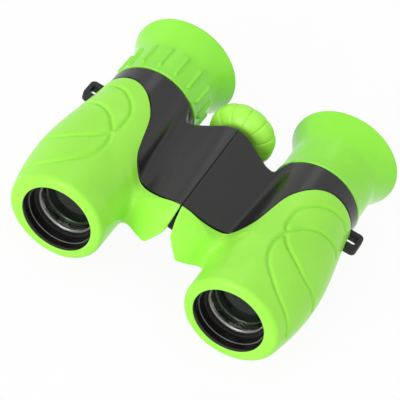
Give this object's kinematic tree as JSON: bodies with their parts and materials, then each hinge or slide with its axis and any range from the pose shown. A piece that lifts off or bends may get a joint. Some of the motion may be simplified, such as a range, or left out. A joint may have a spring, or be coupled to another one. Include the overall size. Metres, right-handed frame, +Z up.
{
  "type": "toy binoculars",
  "caption": "Compact toy binoculars with soft armoured barrels on a centre hinge, a focus wheel, flared eyecups and strap lugs.",
  "frame": {"origin": "middle of the object's box, on the surface that the eyecup rims stand on", "axes": "+X across the barrels towards the user's left barrel, -Y out of the objectives, +Z up with the hinge crown on top"},
  "size_m": [0.1062, 0.09, 0.0394],
  "materials": {
    "armour_rubber": "satin moulded soft rubber",
    "shell_abs": "satin moulded ABS",
    "lug_abs": "fine-textured moulded ABS",
    "inner_abs": "matt black moulded ABS",
    "lens_glass": "polished and coated",
    "prism_glass": "polished",
    "ring_metal": "dark anodised, turned",
    "steel": "zinc plated",
    "brass": "turned"
  },
  "bodies": {
    "left_half": {"left_shell": "shell_abs", "left_armour": "armour_rubber", "left_strap_lug": "lug_abs", "left_bridge_cover": "shell_abs", "left_bridge_screws": "steel", "left_prism_cage": "inner_abs", "left_half_prism": "prism_glass", "left_roof_prism": "prism_glass", "left_eyepiece_tube": "inner_abs", "left_ocular_cell": "inner_abs", "left_field_lens": "lens_glass", "left_lens_spacer": "inner_abs", "left_eye_lens": "lens_glass", "left_ocular_ring": "inner_abs", "left_eyecup": "armour_rubber", "hinge_screw": "steel", "hinge_bush": "brass", "hinge_washer": "steel", "hinge_sleeve": "shell_abs"},
    "right_half": {"right_shell": "shell_abs", "right_armour": "armour_rubber", "right_strap_lug": "lug_abs", "right_bridge_cover": "shell_abs", "right_bridge_screws": "steel", "right_prism_cage": "inner_abs", "right_half_prism": "prism_glass", "right_roof_prism": "prism_glass", "right_eyepiece_tube": "inner_abs"},
    "focus_knob": {"focus_wheel": "armour_rubber", "focus_wheel_cap": "shell_abs", "focus_screw": "steel"},
    "focus_carriage": {"focus_nut": "brass"},
    "left_objective": {"left_objective_cell": "inner_abs", "left_objective_lens": "lens_glass", "left_objective_ring": "ring_metal", "left_focus_pin": "steel"},
    "right_objective": {"right_objective_cell": "inner_abs", "right_objective_lens": "lens_glass", "right_objective_ring": "ring_metal", "right_focus_pin": "steel"},
    "diopter": {"diopter_ring": "armour_rubber", "right_eyecup": "armour_rubber"},
    "right_ocular": {"right_ocular_cell": "inner_abs", "right_field_lens": "lens_glass", "right_lens_spacer": "inner_abs", "right_eye_lens": "lens_glass", "right_ocular_ring": "inner_abs"}
  },
  "joints": [
    {"name": "hinge_fold", "type": "hinge", "parent": "left_half", "child": "right_half", "pos_m": [0, 0, 0.0256], "axis": [0, -1, 0], "range_deg": [0, 40]},
    {"name": "focus_turn", "type": "hinge", "parent": "left_half", "child": "focus_knob", "pos_m": [0, 0.023, 0.0256], "axis": [0, 1, 0], "range_deg": [-225.5, 225.5]},
    {"name": "nut_travel", "type": "slide", "parent": "left_half", "child": "focus_carriage", "axis": [0, 1, 0], "range_m": [-0.0015, 0.0015]},
    {"name": "left_objective_travel", "type": "slide", "parent": "left_half", "child": "left_objective", "axis": [0, 1, 0], "range_m": [-0.00151, 0.00151]},
    {"name": "right_objective_travel", "type": "slide", "parent": "right_half", "child": "right_objective", "axis": [0, 1, 0], "range_m": [-0.00151, 0.00151]},
    {"name": "diopter_turn", "type": "hinge", "parent": "right_half", "child": "diopter", "pos_m": [-0.032, 0.03, 0.0197], "axis": [0, 1, 0], "range_deg": [-60.5, 60.5]},
    {"name": "ocular_travel", "type": "slide", "parent": "right_half", "child": "right_ocular", "axis": [0, 1, 0], "range_m": [-0.0012, 0.0012]}
  ],
  "couplings": [
    {"joint": "focus_turn", "follows": "nut_travel", "rad_per_m": 2618},
    {"joint": "left_objective_travel", "follows": "nut_travel", "ratio": 1},
    {"joint": "right_objective_travel", "follows": "nut_travel", "ratio": 1},
    {"joint": "diopter_turn", "follows": "ocular_travel", "rad_per_m": 872.66}
  ]
}
